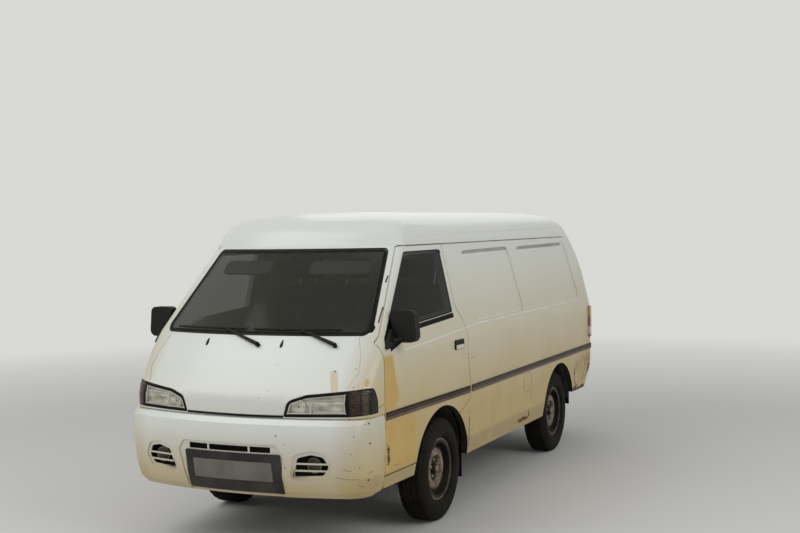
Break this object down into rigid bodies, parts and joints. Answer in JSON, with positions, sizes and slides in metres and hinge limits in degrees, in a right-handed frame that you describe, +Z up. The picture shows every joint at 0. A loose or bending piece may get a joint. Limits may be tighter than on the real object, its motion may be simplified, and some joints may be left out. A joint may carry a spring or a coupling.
{
  "type": "panel van",
  "caption": "Used panel van with a sloping nose, blank sides, sliding side door, lifting tailgate, hinged cab doors and steered front wheels.",
  "frame": {"origin": "middle of the van's overall length and width, at the ground", "axes": "+Z up, -Y towards the nose, +X towards the van's left side"},
  "size_m": [1.8732, 4.6999, 1.9599],
  "materials": {
    "body_white": "satin, aged",
    "bumper_white": "satin, aged",
    "glass": "smooth",
    "black_plastic": "grained",
    "rub_strip": "faded",
    "rubber_black": "matt",
    "lamp_clear": "fluted",
    "lamp_amber": "fluted",
    "lamp_red": "fluted",
    "floor_grey": "worn",
    "underseal": "rough",
    "chassis_black": "dusty",
    "cast_block": "rough",
    "cast_alloy": "cast",
    "tank_black": "dusty",
    "exhaust_steel": "heat stained",
    "tyre_rubber": "matt",
    "rim_steel": "worn",
    "dash_plastic": "grained",
    "wheel_plastic": "grained",
    "seat_fabric": "woven"
  },
  "bodies": {
    "shell": {"dashboard": "dash_plastic", "driveline": "cast_alloy", "driver_seat": "seat_fabric", "engine_block": "cast_block", "exhaust": "exhaust_steel", "floor_pan": "floor_grey", "front_bumper": "bumper_white", "front_panel": "body_white", "front_sills": "body_white", "front_suspension": "chassis_black", "fuel_tank": "tank_black", "headlamps": "lamp_clear", "leaf_springs": "chassis_black", "mud_flaps": "rubber_black", "passenger_seat": "seat_fabric", "rear_axle": "chassis_black", "rear_bumper": "black_plastic", "roof_panel": "body_white", "seat_platform": "floor_grey", "side_panel_left": "body_white", "side_panel_right": "body_white", "side_strips": "rub_strip", "sliding_door": "body_white", "spare_wheel": "tyre_rubber", "tail_lamps": "lamp_red", "turn_lamps": "lamp_amber", "underbody_rails": "underseal", "wheel_housings": "underseal", "windscreen": "glass", "windscreen_frame": "body_white", "wipers": "black_plastic"},
    "door_left": {"door_left_panel": "body_white", "door_left_glass": "glass", "door_left_fittings": "black_plastic"},
    "door_right": {"door_right_panel": "body_white", "door_right_glass": "glass", "door_right_fittings": "black_plastic"},
    "tailgate": {"tailgate_panel": "body_white", "tailgate_glass": "glass"},
    "fuel_flap_body": {"fuel_flap": "body_white"},
    "steering_wheel_body": {"steering_wheel": "wheel_plastic"},
    "steer_left": {"knuckle_left": "chassis_black"},
    "steer_right": {"knuckle_right": "chassis_black"},
    "wheel_front_left": {"tyre_front_left": "tyre_rubber", "rim_front_left": "rim_steel"},
    "wheel_front_right": {"tyre_front_right": "tyre_rubber", "rim_front_right": "rim_steel"},
    "wheel_rear_left": {"tyre_rear_left": "tyre_rubber", "rim_rear_left": "rim_steel"},
    "wheel_rear_right": {"tyre_rear_right": "tyre_rubber", "rim_rear_right": "rim_steel"}
  },
  "joints": [
    {"name": "left_door_hinge", "type": "hinge", "parent": "shell", "child": "door_left", "pos_m": [0.8015, -1.938, 0.78], "axis": [0, 0, -1], "range_deg": [0, 60]},
    {"name": "right_door_hinge", "type": "hinge", "parent": "shell", "child": "door_right", "pos_m": [-0.8015, -1.938, 0.78], "axis": [0, 0, 1], "range_deg": [0, 60]},
    {"name": "tailgate_hinge", "type": "hinge", "parent": "shell", "child": "tailgate", "pos_m": [0, 1.948, 1.885], "axis": [1, 0, 0], "range_deg": [0, 80]},
    {"name": "fuel_flap_hinge", "type": "hinge", "parent": "shell", "child": "fuel_flap_body", "pos_m": [0.8435, 0.3815, 0.67], "axis": [0, 0, -1], "range_deg": [0, 90]},
    {"name": "left_kingpin", "type": "hinge", "parent": "shell", "child": "steer_left", "pos_m": [0.68, -1.14, 0.325], "axis": [0, 0, 1], "range_deg": [-33, 33]},
    {"name": "right_kingpin", "type": "hinge", "parent": "shell", "child": "steer_right", "pos_m": [-0.68, -1.14, 0.325], "axis": [0, 0, 1], "range_deg": [-33, 33]},
    {"name": "steering_column", "type": "hinge", "parent": "shell", "child": "steering_wheel_body", "pos_m": [0.4, -1.44, 1.13], "axis": [0, 0.6428, 0.766], "range_deg": [-540, 540]},
    {"name": "front_left_wheel_hub", "type": "hinge", "parent": "steer_left", "child": "wheel_front_left", "pos_m": [0.7225, -1.14, 0.325], "axis": [1, 0, 0], "continuous": true},
    {"name": "front_right_wheel_hub", "type": "hinge", "parent": "steer_right", "child": "wheel_front_right", "pos_m": [-0.7225, -1.14, 0.325], "axis": [1, 0, 0], "continuous": true},
    {"name": "rear_left_wheel_hub", "type": "hinge", "parent": "shell", "child": "wheel_rear_left", "pos_m": [0.7, 1.29, 0.325], "axis": [1, 0, 0], "continuous": true},
    {"name": "rear_right_wheel_hub", "type": "hinge", "parent": "shell", "child": "wheel_rear_right", "pos_m": [-0.7, 1.29, 0.325], "axis": [1, 0, 0], "continuous": true}
  ],
  "couplings": [
    {"joint": "right_kingpin", "follows": "left_kingpin", "ratio": 1},
    {"joint": "steering_column", "follows": "left_kingpin", "ratio": 16}
  ]
}
